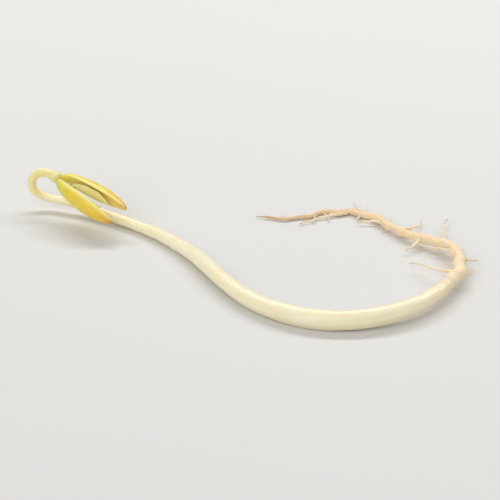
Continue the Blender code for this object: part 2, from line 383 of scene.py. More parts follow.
# Lights: place and target in metres, power and colour, then the key's sides in metres
KEY = ((0.15, 0.34, 0.50), (0.15, 0.0, 0.0), 2.45, (1.0, 0.985, 0.96))
KEY_SIDES = (0.9, 0.10)
FILL = ((-0.60, -1.15, 1.05), (0.0, 0.0, 0.0), 1.0, (1.0, 0.985, 0.965))
FILL_SPREAD = 50.0
SKY_COLOUR = (1.0, 0.995, 0.985, 1.0)
SKY_STRENGTH = 0.46

# The camera: in metres, but for its sensor's width, which is in millimetres
VIEW_ELEVATION = 28.0
VIEW_DISTANCE = 0.62
VIEW_WIDTH = 0.0725
VIEW_TARGET = (0.0, 0.0, 0.0031)
VIEW_NEAREST = 0.01
SENSOR_WIDTH = 36.0


def unit(vectors):
    """Vectors at length 1, along the last axis."""
    vectors = np.asarray(vectors, float)
    return vectors / np.linalg.norm(vectors, axis=-1, keepdims=True)


def smooth(low, high, value):
    """0 below low and 1 above high, with an even S between: p * p * (3 - 2 * p)."""
    part = np.clip((value - low) / (high - low), 0, 1)
    return part * part * (3 - 2 * part)


def between(rise, fall, value):
    """1 between two soft edges: it climbs over the span rise and drops over the span fall."""
    return smooth(*rise, value) * (1 - smooth(*fall, value))


def hill(value, middle, wide):
    """A bell of height 1 round a middle: e ** -(distance / wide) ** 2."""
    return np.exp(-((value - middle) / wide) ** 2)


def sway(value, height, rate, start=0.0):
    """One sine wave: height * sin(rate * value + start)."""
    return height * np.sin(rate * value + start)


def outline(part, rise, fall):
    """A pointed outline from 0 at both ends to 1 between: part ** rise * (1 - part) ** fall."""
    peak = rise / (rise + fall)
    return part ** rise * (1 - part) ** fall / (peak ** rise * (1 - peak) ** fall)


def joined(first, second):
    """Two measures joined softly, so that the larger one leads: (a ** 2.5 + b ** 2.5) ** 0.4."""
    return (first ** JOIN + second ** JOIN) ** (1 / JOIN)


def spread(values, shape):
    """Three numbers or grids as one grid of vectors."""
    return np.stack([np.broadcast_to(value, shape) for value in values], axis=-1)


def new_object(name, data):
    """An object with this data, in the scene."""
    thing = bpy.data.objects.new(name, data)
    bpy.context.scene.collection.objects.link(thing)
    return thing


def spline(rows, step):
    """Rows about one step apart on the natural cubic spline through the given rows."""
    rows = np.array(rows, float)
    spans = np.linalg.norm(np.diff(rows[:, :3], axis=0), axis=1)
    knots = np.concatenate(([0.0], np.cumsum(spans)))
    count = len(rows)
    matrix = np.eye(count)
    right = np.zeros_like(rows)
    for i in range(1, count - 1):
        matrix[i, i - 1:i + 2] = spans[i - 1], 2 * (spans[i - 1] + spans[i]), spans[i]
        right[i] = 6 * ((rows[i + 1] - rows[i]) / spans[i] - (rows[i] - rows[i - 1]) / spans[i - 1])
    bend = np.linalg.solve(matrix, right)
    places = np.linspace(0.0, knots[-1], round(knots[-1] / step) + 1)
    i = np.clip(np.searchsorted(knots, places) - 1, 0, count - 2)
    span = spans[i][:, None]
    low = (knots[i + 1] - places)[:, None] / span
    high = 1 - low
    curve = (low ** 3 - low) * bend[i] + (high ** 3 - high) * bend[i + 1]
    return low * rows[i] + high * rows[i + 1] + curve * span ** 2 / 6


def hook_rows():
    """The arc of the hook, from beside the node round and down to the neck.

    place = centre + radius * (side * cos + up * sin) + forward, which shrinks to nothing on the way
    """
    lean = math.radians(HOOK_LEAN)
    side = np.array((1.0, 0.0, 0.0))
    up = np.array((0.0, math.sin(lean), math.cos(lean)))
    angles = np.radians(np.linspace(HOOK_START, HOOK_END, HOOK_POINTS))[:, None]
    forward = np.linspace(HOOK_PITCH, 0.0, HOOK_POINTS)[:, None] * np.cross(side, up)
    places = HOOK_CENTRE + HOOK_RADIUS * (np.cos(angles) * side + np.sin(angles) * up) + forward
    radii = np.linspace(*HOOK_RADII, HOOK_POINTS)
    return [(*place, radius) for place, radius in zip(places, radii)]


def centreline():
    """The whole centreline, split at the collar: rows of the stem and rows of the taproot."""
    rows = [NODE] + hook_rows() + list(STEM) + [COLLAR] + list(TAPROOT)
    fine = spline(rows, STEP)
    collar = np.argmin(np.linalg.norm(fine[:, :3] - COLLAR[:3], axis=1))
    fine[:, :2] += CENTRE
    return fine[:collar + 1], fine[collar:]


def head_frame():
    """The head's axis, its stacking direction and the direction across the seed leaves."""
    axis = unit(HEAD_AXIS)
    stack = np.array(HEAD_STACK)
    stack = unit(stack - axis * np.dot(stack, axis))
    return axis, stack, np.cross(stack, axis)


STEM_ROWS, ROOT_ROWS = centreline()
NODE_PLACE = STEM_ROWS[0, :3]
AXIS, STACK, ACROSS = head_frame()


class Skin:
    """Closed surfaces gathered into one mesh, each a grid of points from pole to pole.

    Each point also carries `flow`, its place on the surface laid out straight (across, across,
    along) in millimetres, and `zone`, three masks that its material reads.
    """

    POLES = 2

    def __init__(self):
        self.points = []
        self.faces = []
        self.flow = []
        self.zone = []
        self.count = 0

    def add(self, points, flow, zone, turn=1):
        """Add a grid of (row, column, xyz); columns close round, and each end shuts in a pole.

        The first and the last row become the poles, which come before the rings between them.
        turn is -1 for a grid whose columns run the other way round, to keep its faces outward.
        """
        rows, columns = points.shape[:2]
        rings = rows - self.POLES
        index = self.count + self.POLES + np.arange(rings * columns).reshape(rings, columns)
        beside = np.roll(index, -1, axis=1)
        quads = np.stack((index[:-1], beside[:-1], beside[1:], index[1:]), axis=-1).reshape(-1, 4)
        start = np.stack((beside[0], index[0], np.full(columns, self.count)), axis=-1)
        end = np.stack((index[-1], beside[-1], np.full(columns, self.count + 1)), axis=-1)
        self.faces += quads.tolist() + start.tolist() + end.tolist()
        grids = (points, spread(flow, (rows, columns)), spread(zone, (rows, columns)))
        for store, values in zip((self.points, self.flow, self.zone), grids):
            values = values[:, ::turn]
            store.append(values[[0, -1]].mean(axis=1))
            store.append(values[1:-1].reshape(-1, 3))
        self.count += self.POLES + rings * columns

    def piece(self, name, surface):
        """The mesh as an object, in metres, smooth, with its material."""
        mesh = bpy.data.meshes.new(name)
        mesh.from_pydata((np.concatenate(self.points) * MM).tolist(), [], self.faces)
        for title, store in (("flow", self.flow), ("zone", self.zone)):
            layer = mesh.attributes.new(title, "FLOAT_VECTOR", "POINT")
            layer.data.foreach_set("vector", np.concatenate(store).astype(np.float32).ravel())
        mesh.materials.append(surface)
        mesh.shade_smooth()
        mesh.update()
        return new_object(name, mesh)


class Tube:
    """Rings round a line: u is the distance along it, a the angle round it, as a grid.

    Rings stand closer at both ends, where the tube rounds off: part of the way = even part
    - 0.7 * sin(turn * even part) / turn. The reference is what the rings are turned towards: one
    vector, or a function that gives one for each u.
    """

    CLOSER = 0.7

    def __init__(self, rows, rings, sides, reference=UP):
        even = np.linspace(0, 1, rings)
        marks = (even - self.CLOSER * np.sin(FULL_TURN * even) / FULL_TURN) * (len(rows) - 1)
        columns = [np.interp(marks, np.arange(len(rows)), column) for column in rows.T]
        self.rows = np.stack(columns, axis=1)
        places = self.rows[:, :3]
        steps = np.linalg.norm(np.diff(places, axis=0), axis=1)
        self.u = np.concatenate(([0.0], np.cumsum(steps)))[:, None]
        self.total = self.u[-1, 0]
        self.a = np.linspace(0, FULL_TURN, sides, endpoint=False)[None, :]
        along = unit(np.gradient(places, axis=0))
        reference = reference(self.u) if callable(reference) else reference
        upward = unit(reference - along * (reference * along).sum(axis=1, keepdims=True))
        across = np.cross(upward, along)
        cosine, sine = np.cos(self.a)[..., None], np.sin(self.a)[..., None]
        self.out = across[:, None] * cosine + upward[:, None] * sine
        self.radius = self.rows[:, 3:4]

    def rounded(self, start, end):
        """Radius factor that rounds off the start and the end, each over its own length."""
        near = np.clip(np.minimum(self.u / start, (self.total - self.u) / end), 0, 1)
        return np.sqrt(near * (2 - near))

    def points(self, radius):
        """Points at a radius, kept from sinking below the surface: what touches it lies flat."""
        points = self.rows[:, None, :3] + self.out * radius[..., None]
        points[..., 2] = np.maximum(points[..., 2], 0.0)
        return points

    def flow(self, radius):
        """The tube laid out straight at one even radius, seamless round its angle."""
        return radius * np.cos(self.a), radius * np.sin(self.a), self.u


def waves(draw, u, a, count, rates, turns, height):
    """Sum of sine waves over a surface, with drawn rates along u and whole numbers of turns of a.

    height / sqrt(count) * sum of sin(rate * u + turns * a + start)
    """
    total = np.zeros(np.broadcast(u, a).shape)
    for _ in range(count):
        rate = draw.uniform(*rates)
        around = draw.integers(-turns, turns + 1)
        total += np.sin(rate * u + around * a + draw.uniform(0, FULL_TURN))
    return total * height / math.sqrt(count)


def wander(draw, rows, size, lengths, calm):
    """Move a line to and fro sideways in slow waves, which grow from nothing over a calm start."""
    rows = rows.copy()
    u = np.arange(len(rows)) * STEP
    along = unit(np.gradient(rows[:, :3], axis=0))
    sideways = unit(np.cross(along, UP))
    shift = sum(
        np.sin(FULL_TURN * (u / draw.uniform(*lengths) + draw.uniform()))
        for _ in range(BEND_WAVES)
    )
    shift = shift * size / math.sqrt(BEND_WAVES) * smooth(0, calm, u)
    rows[:, :3] += sideways * shift[:, None]
    return rows


def stem_line():
    """The stem's line, with slow bends, from a cap past the node to a tail inside the root."""
    reach = np.arange(NODE_CAP, STEP / 2, -STEP)[:, None]
    cap = np.concatenate((NODE_PLACE + AXIS * reach, np.full(reach.shape, NODE[3])), axis=1)
    body = wander(np.random.default_rng(STEM_BENDS_SEED), STEM_ROWS, *STEM_BENDS)
    tail = ROOT_ROWS[1:round(OVERLAP / STEP)].copy()
    tail[:, :3] += body[-1, :3] - STEM_ROWS[-1, :3]
    tail[:, 3] *= np.linspace(1.0, TUCK, len(tail))
    return np.concatenate((cap, body, tail))


def stem_reference(u):
    """What the stem's rings start from: square to the hook's arc at the neck, then straight up."""
    lean = math.radians(HOOK_LEAN)
    forward = np.array((0.0, -math.cos(lean), math.sin(lean)))
    upright = smooth(*STEM_UPRIGHT, u)
    return forward * (1 - upright) + UP * upright


def make_stem(surface):
    """The stem: rings round its line, with swellings, soft corners, ripples, dents and wrinkles.

    radius = line radius * (1 + swellings) * (1 + grown * (cos 2a + cos 4a)) + ripples + grain
    - dents + wrinkles inside the hook, then * (1 + knuckle - waist) + wrinkles at the collar
    """
    tube = Tube(stem_line(), *STEM_GRID, stem_reference)
    u, a = tube.u, tube.a
    draw = np.random.default_rng(STEM_SEED)
    grown = smooth(*STEM_GROWN, u)
    swellings = sum(sway(u, *values) for values in STEM_SWELLINGS)
    corners = sum(height * np.cos(number * a + twist * u) for height, number, twist in STEM_CORNERS)
    radius = tube.radius * (1 + swellings) * (1 + grown * corners)
    radius += waves(draw, u, a, *STEM_RIPPLES) * (NECK_RIPPLES + (1 - NECK_RIPPLES) * grown)
    radius += waves(draw, u, a, *STEM_GRAIN)
    for _ in range(STEM_DENTS):
        place = draw.uniform(DENT_ENDS[0], tube.total - DENT_ENDS[1])
        angle = draw.uniform(0, FULL_TURN)
        wide = draw.uniform(*DENT_WIDTH)
        away = np.angle(np.exp(1j * (a - angle))) * tube.radius
        dent = hill(u, place, DENT_SHAPE[0] * wide) * hill(away, 0, DENT_SHAPE[1] * wide)
        radius -= draw.uniform(*DENT_DEPTH) * dent
    inner = np.clip(np.cos(a), 0, 1) * between(*HOOK_SPAN, u)
    radius += waves(draw, u, a, *HOOK_WRINKLES) * inner
    radius *= 1 + KNUCKLE[0] * hill(u, *KNUCKLE[1:]) - WAIST[0] * hill(u, *WAIST[1:])
    collar = smooth(tube.total - COLLAR_LENGTH, tube.total - OVERLAP, u)
    radius += waves(draw, u, a, *COLLAR_WRINKLES) * collar
    points = tube.points(radius * tube.rounded(*STEM_ENDS))
    skin = Skin()
    skin.add(points, tube.flow(STEM_EVEN), (u / tube.total, inner, collar))
    return skin.piece("stem_skin", surface)


def rootlet_rows(draw, where, side, kind):
    """One rootlet's rows, and the row of the root's line where it starts, a part of the way along.

    It leaves the root to one side at an angle, turns by its bend over its length, and waves to and
    fro by wave * sin(start + 5 * part), while it falls halfway to its lowest place at each stride.
    """
    place = ROOTLET_FIRST + (kind["last"] - ROOTLET_FIRST) * max(where, 0)
    steps = np.linalg.norm(np.diff(ROOT_ROWS[:, :3], axis=0), axis=1)
    at = int(np.searchsorted(np.cumsum(steps), place))
    start = ROOT_ROWS[at, :3]
    along = unit(ROOT_ROWS[at + 1, :3] - start)
    length = draw.uniform(*kind["length"])
    leave = math.radians(draw.uniform(*ROOTLET_ANGLE))
    bend = math.radians(draw.uniform(*ROOTLET_BEND))
    phase = draw.uniform(0.0, FULL_TURN)
    turn = math.atan2(along[1], along[0])
    stride = length / (ROOTLET_POINTS - 1)
    thick, thin = kind["radii"]
    spot = np.array(start)
    made = []
    for i in range(ROOTLET_POINTS):
        part = i / (ROOTLET_POINTS - 1)
        made.append((*spot, thick + part * (thin - thick)))
        wave = math.radians(ROOTLET_WAVE) * math.sin(phase + ROOTLET_WAVE_RATE * part)
        heading = turn + side * (leave - part * bend) + wave
        lowest = max(thick + ROOTLET_LIFT, start[2] * (1 - ROOTLET_SINK * part))
        fall = (lowest - spot[2]) * ROOTLET_FALL
        spot = spot + np.array((math.cos(heading) * stride, math.sin(heading) * stride, fall))
    return made, at


def draw_rootlets(draw):
    """All rootlets: the solid's ones on alternate sides, then finer ones on drawn sides.

    Each is its rows, the row of the root's line where it starts, and its kind.
    """
    made = []
    same = np.random.default_rng(ROOTLET_SEED)
    for i in range(ROOTLETS):
        where = (i + same.uniform(-ROOTLET_STRAY, ROOTLET_STRAY)) / (ROOTLETS - 1)
        side = -1 if i % 2 else 1
        made.append((*rootlet_rows(same, where, side, ROOTLET), ROOTLET))
    for i in range(FINE_ROOTLETS):
        where = (i + draw.uniform(-FINE_STRAY, FINE_STRAY)) / FINE_ROOTLETS
        side = 1 if draw.uniform() > 0.5 else -1
        made.append((*rootlet_rows(draw, where, side, FINE_ROOTLET), FINE_ROOTLET))
    return made


def add_hairs(skin, draw, tube, radius, count, stretch):
    """Root hairs: thin curved threads that lean out of a tube between two parts of its length.

    place = start + lean * reach + sway * reach ** 2
    """
    for _ in range(count):
        row = int(draw.uniform(*stretch) * (len(tube.u) - 1))
        column = draw.integers(tube.a.size)
        out = tube.out[row, column]
        if out[2] < HAIR_DOWN:
            continue
        start = tube.rows[row, :3] + out * radius[row, column] * HAIR_BASE
        rings, sides = HAIR_GRID
        reach = np.linspace(0, draw.uniform(*HAIR_LENGTH), rings)[:, None]
        lean = unit(out + draw.normal(size=3) * HAIR_LEAN)
        bend = unit(draw.normal(size=3))
        places = start + lean * reach + bend * reach ** 2 * draw.uniform(*HAIR_SWAY)
        places[:, 2] = np.maximum(places[:, 2], HAIR_LIFT)
        line = np.concatenate((places, np.linspace(*HAIR_RADIUS, rings)[:, None]), axis=1)
        hair = Tube(line, rings, sides, bend)
        skin.add(hair.points(hair.radius), hair.flow(THREAD_EVEN), (hair.u / hair.total, 0.0, 0.0))


def rootlet_line(draw, rows, shift):
    """A rootlet's fine rows with bends, shifted with the root at the base and less to the tip."""
    rows = spline(rows, STEP)
    rows[:, :3] += shift * (1 - np.linspace(0, 1, len(rows))[:, None])
    return wander(draw, rows, *ROOTLET_BENDS)


def add_rootlet(skin, hairs, draw, line, kind, thick, where):
    """A rootlet's tube, which starts inside the root, and its hairs.

    radius = line radius * taper * (1 + 0.45 * e ** -(u / 0.5)) * (1 + knobs), and at most
    0.8 * the root's radius there + 0.3 * u
    """
    tube = Tube(line, *kind["grid"])
    u, a = tube.u, tube.a
    part = u / tube.total
    base, tip = kind["taper"]
    share, length = ROOTLET_FLARE
    radius = tube.radius * (base + (tip - base) * part) * (1 + share * np.exp(-u / length))
    radius = radius * (1 + waves(draw, u, a, *ROOTLET_KNOBS))
    radius = np.minimum(radius, ROOTLET_LIMIT[0] * thick + ROOTLET_LIMIT[1] * u)
    points = tube.points(radius * tube.rounded(*ROOTLET_ENDS))
    skin.add(points, tube.flow(THREAD_EVEN), (where, part, 0.0))
    add_hairs(hairs, draw, tube, radius, kind["hairs"], ROOTLET_HAIRY)


def root_taper(part):
    """How thick the root is against its line: 1 - 0.45 * part ** 3."""
    return 1 - ROOT_TAPER * part ** 3


def make_taproot(surface, hair_surface):
    """The taproot with its side rootlets, finer rootlets between them, and its root hairs.

    radius = line radius * root_taper * point at the tip * (1 + knobs + grain) + a swelling where
    each rootlet leaves
    """
    draw = np.random.default_rng(ROOT_SEED)
    moved = wander(draw, ROOT_ROWS, *ROOT_BENDS)
    rootlets = draw_rootlets(draw)
    head = STEM_ROWS[-round(OVERLAP / STEP):-1].copy()
    head[:, 3] *= np.linspace(TUCK, 1.0, len(head))
    tube = Tube(np.concatenate((head, moved)), *ROOT_GRID)
    u, a = tube.u, tube.a
    part = u / tube.total
    point = ROOT_POINT + (1 - ROOT_POINT) * smooth(0.0, ROOT_POINT_LENGTH, tube.total - u)
    radius = tube.radius * root_taper(part) * point
    radius = radius * (1 + waves(draw, u, a, *ROOT_KNOBS) + waves(draw, u, a, *ROOT_GRAIN))
    for rows, at, _ in rootlets:
        radius += SHOULDER * rows[0][3] * hill(u, OVERLAP + at * STEP, SHOULDER_LENGTH)
    points = tube.points(radius * tube.rounded(*ROOT_ENDS))
    skin = Skin()
    hairs = Skin()
    skin.add(points, tube.flow(ROOT_EVEN), (part, 0.0, 1 - smooth(*ROOT_PALE, u)))
    for rows, at, kind in rootlets:
        where = (OVERLAP + at * STEP) / tube.total
        thick = ROOT_ROWS[at, 3] * root_taper(where)
        line = rootlet_line(draw, rows, moved[at, :3] - ROOT_ROWS[at, :3])
        add_rootlet(skin, hairs, draw, line, kind, thick, where)
    add_hairs(hairs, draw, tube, radius, TAPROOT_HAIRS, TAPROOT_HAIRY)
    return skin.piece("taproot_skin", surface), hairs.piece("root_hairs", hair_surface)


def leaf_frame(side, opening):
    """One leaf's own directions: along it, across it and out from the head's middle."""
    opening = math.radians(opening)
    along = AXIS * math.cos(opening) + side * STACK * math.sin(opening)
    out = side * STACK * math.cos(opening) - AXIS * math.sin(opening)
    return along, ACROSS, out


def leaf_grid(rings, sides):
    """Parts of the way from base to tip, close together at both ends, and angles round a leaf."""
    part = (1 - np.cos(math.pi * np.linspace(0, 1, rings)))[:, None] / 2
    return part, np.linspace(0, FULL_TURN, sides, endpoint=False)[None, :]


def leaf_points(base, directions, reach, across, height):
    """Points of a leaf: base + its directions * its measures along, across and out."""
    along, wide, out = directions
    return base + along * reach[..., None] + wide * across[..., None] + out * height[..., None]


def leaf_waves(draw, t, c, scale, shape):
    """Waves over a leaf, whose scale turns its parts along and across into a u and an a."""
    return waves(draw, scale[0] * t, scale[1] * c, *shape)


def seed_leaf_relief(draw, seed, t, c, outer):
    """Relief of a seed leaf: folds, wrinkles, a crease between two banks, dents and fine grain.

    t runs along the leaf and c across it. Only the outer face has the crease and the dents, each
    of them depth * bell along * bell across.
    """
    relief = leaf_waves(draw, t, c, *LEAF_FOLDS) + leaf_waves(draw, t, c, *LEAF_WRINKLES)
    crease = sway(t, *CREASE_SWAY, seed) + sway(t, *CREASE_KINK)
    depth, wide = CREASE
    bank, far = BANK
    relief -= (depth * hill(c, crease, wide) - bank * hill(c, crease, far)) * outer
    for _ in range(LEAF_DENTS):
        spot, where = draw.uniform(*LEAF_DENT_ALONG), draw.uniform(*LEAF_DENT_ACROSS)
        dent = draw.uniform(*LEAF_DENT_DEPTH) * hill(t, spot, LEAF_DENT_SIZE[0])
        relief -= dent * hill(c, where, LEAF_DENT_SIZE[1]) * outer
    return relief + leaf_waves(draw, t, c, *LEAF_GRAIN)


def make_seed_leaf(name, surface, side, seed, twist):
    """A seed leaf: long outline, domed outside with soft folds, hollow inside, on a short stalk.

    across = half width * outline(t) * cos a, joined to the stalk's round section near the base
    out = depth * outline(t) * sin a on the dome, and hollow - lip - stalk on the inner face, then
    + relief - bend * t ** 2 + warp at the margins - drop of the stalk + across * tan(twist) * t
    """
    part, a = leaf_grid(*LEAF_GRID)
    reach = (LEAF_LENGTH + LEAF_BACK) * part - LEAF_BACK
    t = np.clip(reach / LEAF_LENGTH, 0, 1)
    c, s = np.cos(a), np.sin(a)
    edge = np.abs(s)
    down = np.maximum(-s, 0)
    outer = s > 0
    fade = outline(t, *LEAF_FADE_ENDS)
    end = np.clip(part / LEAF_STALK_ROUND, 0, 1)
    stalk = LEAF_STALK * (1 - smooth(*LEAF_STALK_FADE, reach)) * np.sqrt(1 - (1 - end) ** 2)
    width = joined(LEAF_HALF_WIDTH * outline(t, *LEAF_WIDTH_ENDS), stalk)
    dome = joined(LEAF_DEPTH * outline(t, *LEAF_DEPTH_ENDS), stalk) * np.maximum(s, 0)
    hollow = LEAF_HOLLOW * outline(t, *LEAF_HOLLOW_ENDS) * down ** 2
    lip = LEAF_LIP * fade * np.sqrt(down) * (1 - down)
    height = np.where(outer, dome, hollow - lip - stalk * down)
    relief = seed_leaf_relief(np.random.default_rng(seed), seed, t, c, outer)
    relief = relief * smooth(0.0, LEAF_FADE_RIM, edge) * fade * np.where(outer, 1, INNER_RELIEF)
    height = height + relief - LEAF_BEND * t ** 2 + sway(t, *LEAF_WARP, seed) * c ** 2 * fade
    height -= LEAF_STALK_DROP * (1 - smooth(-LEAF_BACK, LEAF_STALK_DROP_END, reach))
    ripple = 1 + sum(sway(t, tall, rate, times * seed) for tall, rate, times in RIM_RIPPLES)
    across = width * c * ripple + LEAF_SKEW * math.cos(seed) * fade ** 2 * (t - 0.5)
    height += across * math.tan(math.radians(twist)) * t
    # Mask of the painted highlight along the margin
    rim_highlight = (1 - smooth(0.0, HIGHLIGHT_RIM_WIDTH, edge)) * smooth(*HIGHLIGHT_RIM_START, t)
    # Mask of the painted light that lifts the inner face's shade
    inside = smooth(0.0, LIGHT_INSIDE_EDGE, down) * smooth(*LIGHT_INSIDE_START, t)
    base = NODE_PLACE + AXIS * GAP + side * STACK * LEAF_OFFSET
    points = leaf_points(base, leaf_frame(side, LEAF_OPENING), reach, across, height)
    skin = Skin()
    skin.add(points, (width * c, height, reach), (t, rim_highlight, inside), side)
    return skin.piece(name, surface)


def add_blade(skin, side, size):
    """One first leaf: pointed, folded along its midrib, with veins that lean towards its tip.

    out = arch + fold * |cos a| ** 1.3 + thickness * |sin a| ** 0.8 + veins and midrib + curl
    """
    t, a = leaf_grid(*BLADE_GRID)
    c, s = np.cos(a), np.sin(a)
    far = np.abs(c)
    width = BLADE_HALF_WIDTH * outline(t, *BLADE_WIDTH_ENDS) * (1 + sway(t, *BLADE_RIPPLE, side))
    thick = BLADE_THICKNESS * outline(t, *BLADE_THICK_ENDS) * np.abs(s) ** BLADE_ROUND * np.sign(s)
    arch = BLADE_ARCH * outline(t, *BLADE_ARCH_ENDS)
    fold = BLADE_FOLD * far ** BLADE_FOLD_POWER * outline(t, *BLADE_FOLD_ENDS)
    vein = np.clip(np.sin(VEIN_RATE * t - VEIN_LEAN * far), 0, 1) ** VEIN_SHARP
    vein *= between(*VEIN_SPAN, far)
    rib = hill(c, 0.0, RIB_WIDTH)
    fade = outline(t, *BLADE_FADE_ENDS)
    relief = (VEIN_HEIGHT * vein + RIB_HEIGHT * rib * (1 - t)) * fade
    curl = sway(t, *BLADE_CURL, 2 * side) + sway(t, *MARGIN_CURL, side) * far ** 2 * fade
    height = arch + fold + thick + relief * np.where(s > 0, 1, UNDER_RELIEF) + curl
    reach = BLADE_LENGTH * size * t
    base = NODE_PLACE + AXIS * BLADE_START
    points = leaf_points(base, leaf_frame(side, BLADE_OPENING), reach, width * c, height)
    skin.add(points, (width * c, height, reach), (t, far, np.maximum(vein, rib)), side)


def make_first_leaves(surface):
    """The first leaves: a stalk between the seed leaves, and the two blades that grow from it."""
    reach = np.arange(-NODE_CAP, STALK_LENGTH, STEP)[:, None]
    line = np.concatenate((NODE_PLACE + AXIS * reach, np.full(reach.shape, STALK_RADIUS)), axis=1)
    stalk = Tube(line, *STALK_GRID)
    skin = Skin()
    points = stalk.points(stalk.radius * stalk.rounded(*STALK_ENDS))
    skin.add(points, stalk.flow(THREAD_EVEN), (0.0, 0.0, 0.0))
    for side, size in BLADE_SIZES:
        add_blade(skin, side, size)
    return skin.piece("first_leaves_skin", surface)


class Number:
    """A number socket: arithmetic on it adds Math nodes."""

    def __init__(self, graph, socket):
        self.graph = graph
        self.socket = socket

    def combine(self, operation, first, second):
        """A Math node on two numbers."""
        return self.graph.node("ShaderNodeMath", {"operation": operation}, {0: first, 1: second})[0]

    def __add__(self, other):
        return self.combine("ADD", self, other)

    __radd__ = __add__

    def __mul__(self, other):
        return self.combine("MULTIPLY", self, other)

    __rmul__ = __mul__

    def __rsub__(self, other):
        return self.combine("SUBTRACT", other, self)


class Outputs:
    """A node's outputs, by number or name."""

    def __init__(self, graph, node):
        self.graph = graph
        self.node = node

    def __getitem__(self, key):
        return Number(self.graph, self.node.outputs[key])


class Material:
    """A node material with one Principled shader."""

    def __init__(self, name):
        self.made = bpy.data.materials.new(name)
        self.made.use_nodes = True
        self.tree = self.made.node_tree
        self.shader = self.tree.nodes["Principled BSDF"]

    def put(self, node, sockets):
        """Link a node's sockets, or set their values."""
        for key, value in sockets.items():
            if isinstance(value, Number):
                self.tree.links.new(value.socket, node.inputs[key])
            else:
                node.inputs[key].default_value = value

    def node(self, kind, settings=(), sockets=()):
        """Add a node: its settings first, then its sockets' values or links."""
        node = self.tree.nodes.new(kind)
        for key, value in dict(settings).items():
            setattr(node, key, value)
        self.put(node, dict(sockets))
        return Outputs(self, node)

    def attribute(self, name):
        """An attribute of the piece, as a vector."""
        return self.node("ShaderNodeAttribute", {"attribute_name": name})["Vector"]

    def split(self, vector):
        """The three numbers of a vector."""
        parts = self.node("ShaderNodeSeparateXYZ", (), {0: vector})
        return parts[0], parts[1], parts[2]

    def noise(self, vector, rates, detail, roughness=0.55):
        """Soft noise from 0 to 1, with its rate per millimetre along each axis of a vector."""
        settings = {"operation": "MULTIPLY"}
        scaled = self.node("ShaderNodeVectorMath", settings, {0: vector, 1: rates})[0]
        sockets = {"Vector": scaled, "Scale": 1.0, "Detail": detail, "Roughness": roughness}
        return self.node("ShaderNodeTexNoise", (), sockets)[0]

    def step(self, value, low, high):
        """0 below low and 1 above high, with an even S between."""
        sockets = {"Value": value, "From Min": low, "From Max": high}
        return self.node("ShaderNodeMapRange", {"interpolation_type": "SMOOTHSTEP"}, sockets)[0]

    def ramp(self, value, stops):
        """A colour for a value, from (position, colour) stops."""
        made = self.node("ShaderNodeValToRGB", (), {0: value})
        elements = made.node.color_ramp.elements
        while len(elements) < len(stops):
            elements.new(0.5)
        for element, (position, colour) in zip(elements, stops):
            element.position = position
            element.color = (*colour, 1.0)
        return made[0]

    def mix(self, factor, first, second):
        """Two colours mixed by a factor: sockets 6 and 7 of the node, and its output 2."""
        first, second = (c if isinstance(c, Number) else (*c, 1.0) for c in (first, second))
        sockets = {0: factor, 6: first, 7: second}
        return self.node("ShaderNodeMix", {"data_type": "RGBA"}, sockets)[2]

    def bump(self, height, distance):
        """A normal from a height between 0 and 1, over a distance in millimetres."""
        sockets = {"Height": height, "Strength": 1.0, "Distance": distance * MM}
        return self.node("ShaderNodeBump", (), sockets)["Normal"]

    def finish(self, colour, roughness, normal, constants):
        """Link what varies to the shader, and set what doesn't."""
        varying = {"Base Color": colour, "Roughness": roughness, "Normal": normal}
        self.put(self.shader, varying | constants)
        return self.made


def tissue(inner, reach, scale, coat, coat_roughness):
    """Constants of moist tissue: light goes scale * reach mm into it, for each of its colours."""
    return {
        "Subsurface Weight": inner,
        "Subsurface Radius": reach,
        "Subsurface Scale": scale * MM,
        "Coat Weight": coat,
        "Coat Roughness": coat_roughness,
    }


def stem_material():
    """Moist white tissue, slightly see-through: yellow-green at the node, tan at the collar."""
    m = Material("stem_surface")
    flow = m.attribute("flow")
    part, wrinkle, collar = m.split(m.attribute("zone"))
    grown = 1 - collar
    strands = m.noise(flow, rates=(2.6, 2.6, 0.14), detail=4.0)
    cloud = m.noise(flow, rates=(0.5, 0.5, 0.35), detail=3.0)
    stretches = m.noise(flow, rates=(0.30, 0.30, 0.12), detail=2.0)
    specks = m.noise(flow, rates=(2.4, 2.4, 1.3), detail=2.0)
    patches = m.noise(flow, rates=(1.3, 1.3, 0.8), detail=4.0)
    fine = m.noise(flow, rates=(9.0, 9.0, 0.7), detail=5.0, roughness=0.6)
    colour = m.ramp(part, STEM_COLOURS)
    for pattern, low, high, strength, tint in (
        (strands, 0.45, 0.72, 0.45, STRAND),
        (cloud, 0.48, 0.78, 0.55, WHITE_CLOUD),
        (stretches, 0.50, 0.66, 0.45, CREAM_STRETCH),
        (stretches, 0.48, 0.34, 0.50, WHITE_STRETCH),
    ):
        colour = m.mix(m.step(pattern, low, high) * strength * grown, colour, tint)
    colour = m.mix(m.step(specks, 0.70, 0.80) * 0.40, colour, STEM_SPECK)
    colour = m.mix(wrinkle * 0.20, colour, HOOK_FOLD)
    colour = m.mix(collar * m.step(patches, 0.48, 0.70) * 0.5, colour, COLLAR_PATCH)
    colour = m.mix(m.step(fine, 0.50, 0.72) * 0.22, colour, FINE_STRAND)
    roughness = 0.20 + 0.22 * fine
    normal = m.bump(strands * 0.5 + fine * 0.5, 0.06)
    moist = tissue(inner=0.6, reach=(1.0, 0.8, 0.4), scale=0.8, coat=0.45, coat_roughness=0.09)
    return m.finish(colour, roughness, normal, moist)


